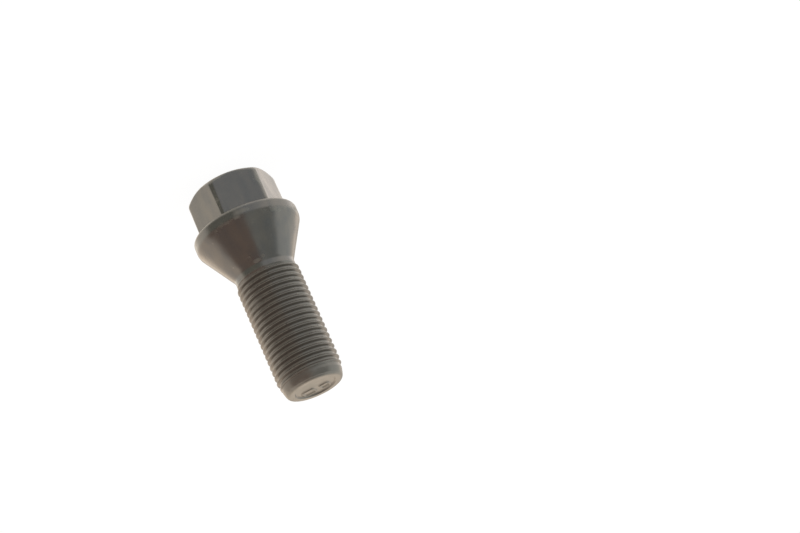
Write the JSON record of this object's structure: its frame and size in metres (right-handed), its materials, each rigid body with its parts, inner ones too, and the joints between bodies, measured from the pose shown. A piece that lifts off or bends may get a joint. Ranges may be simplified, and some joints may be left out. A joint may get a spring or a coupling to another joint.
{
  "type": "wheel bolt",
  "caption": "Forged wheel bolt with a hexagon head on a round collar, a cone seat that centres the wheel, and a threaded shank with a tapered tip.",
  "frame": {"origin": "middle of the head's top face, on which the bolt stands", "axes": "+Z along the bolt's axis, from the head towards the thread's end; +Y towards the middle of a flat of the hexagon"},
  "size_m": [0.0228, 0.0228, 0.0481],
  "materials": {
    "coated_steel": "satin"
  },
  "bodies": {
    "root": {"wheel_bolt": "coated_steel"}
  },
  "joints": []
}
